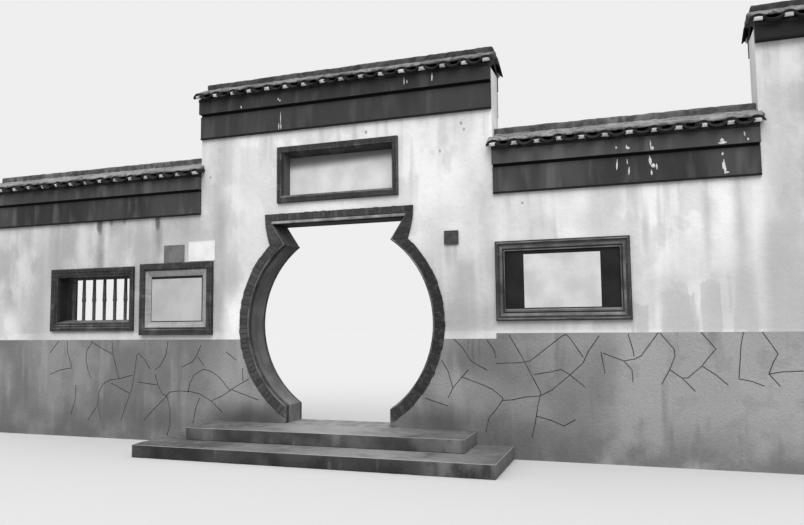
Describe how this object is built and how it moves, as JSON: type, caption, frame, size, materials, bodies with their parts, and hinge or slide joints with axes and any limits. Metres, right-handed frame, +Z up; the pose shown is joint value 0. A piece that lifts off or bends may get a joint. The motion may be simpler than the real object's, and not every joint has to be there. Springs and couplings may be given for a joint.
{
  "type": "moon gate",
  "caption": "Stepped garden wall with a jar-shaped moon gate, tiled copings, brick friezes, a barred window, a name tablet, notice boards and entrance steps.",
  "frame": {"origin": "on the ground, on the gateway's centre line, in the middle of the wall's thickness", "axes": "+X along the wall to the viewer's right, +Y through the wall away from the steps, +Z up"},
  "size_m": [11.84, 1.61, 4.9131],
  "materials": {
    "lime_plaster": "old white limewash, stained and streaked",
    "dado_render": "grey render with incised lines",
    "frieze_render": "dark grey wash with lime splashes",
    "clay_tile": "weathered dark clay tile",
    "lime_mortar": "pale weathered mortar",
    "gate_brick": "dark grey brick on edge",
    "reveal_render": "smooth grey render",
    "step_concrete": "worn grey stone",
    "dark_timber": "dark painted timber",
    "pale_timber": "pale painted timber",
    "board_backing": "dark painted board",
    "tablet_panel": "weathered white panel, left bare",
    "notice_paper": "matt sheet, left bare",
    "plaque": "painted plate, left bare",
    "box_metal": "dull dark paint"
  },
  "bodies": {
    "root": {"left_wing_wall": "lime_plaster", "centre_wall_left": "lime_plaster", "centre_wall_right": "lime_plaster", "centre_wall_head": "lime_plaster", "right_wing_wall": "lime_plaster", "end_bay_wall": "lime_plaster", "left_wing_dado": "dado_render", "centre_dado_left": "dado_render", "centre_dado_right": "dado_render", "right_wing_dado": "dado_render", "end_bay_dado": "dado_render", "left_wing_lower_frieze": "frieze_render", "left_wing_upper_frieze": "frieze_render", "centre_lower_frieze": "frieze_render", "centre_upper_frieze": "frieze_render", "right_wing_lower_frieze": "frieze_render", "right_wing_upper_frieze": "frieze_render", "end_bay_frieze": "frieze_render", "left_wing_coping": "clay_tile", "centre_coping": "clay_tile", "right_wing_coping": "clay_tile", "end_bay_coping": "clay_tile", "left_wing_ridge": "clay_tile", "centre_ridge": "clay_tile", "right_wing_ridge": "clay_tile", "end_bay_ridge": "clay_tile", "gate_surround_left": "gate_brick", "gate_surround_right": "gate_brick", "gate_lintel": "gate_brick", "lintel_core": "reveal_render", "gate_reveal_left": "reveal_render", "gate_reveal_right": "reveal_render", "threshold_base": "dado_render", "threshold_slab": "step_concrete", "lower_step": "step_concrete", "upper_step": "step_concrete", "name_tablet_frame": "dark_timber", "name_tablet_panel": "tablet_panel", "window_frame": "dark_timber", "left_board_frame": "dark_timber", "left_board_panel": "pale_timber", "right_board_frame": "dark_timber", "right_board_panel": "board_backing", "small_plaques": "plaque", "wall_box": "box_metal"}
  },
  "joints": []
}
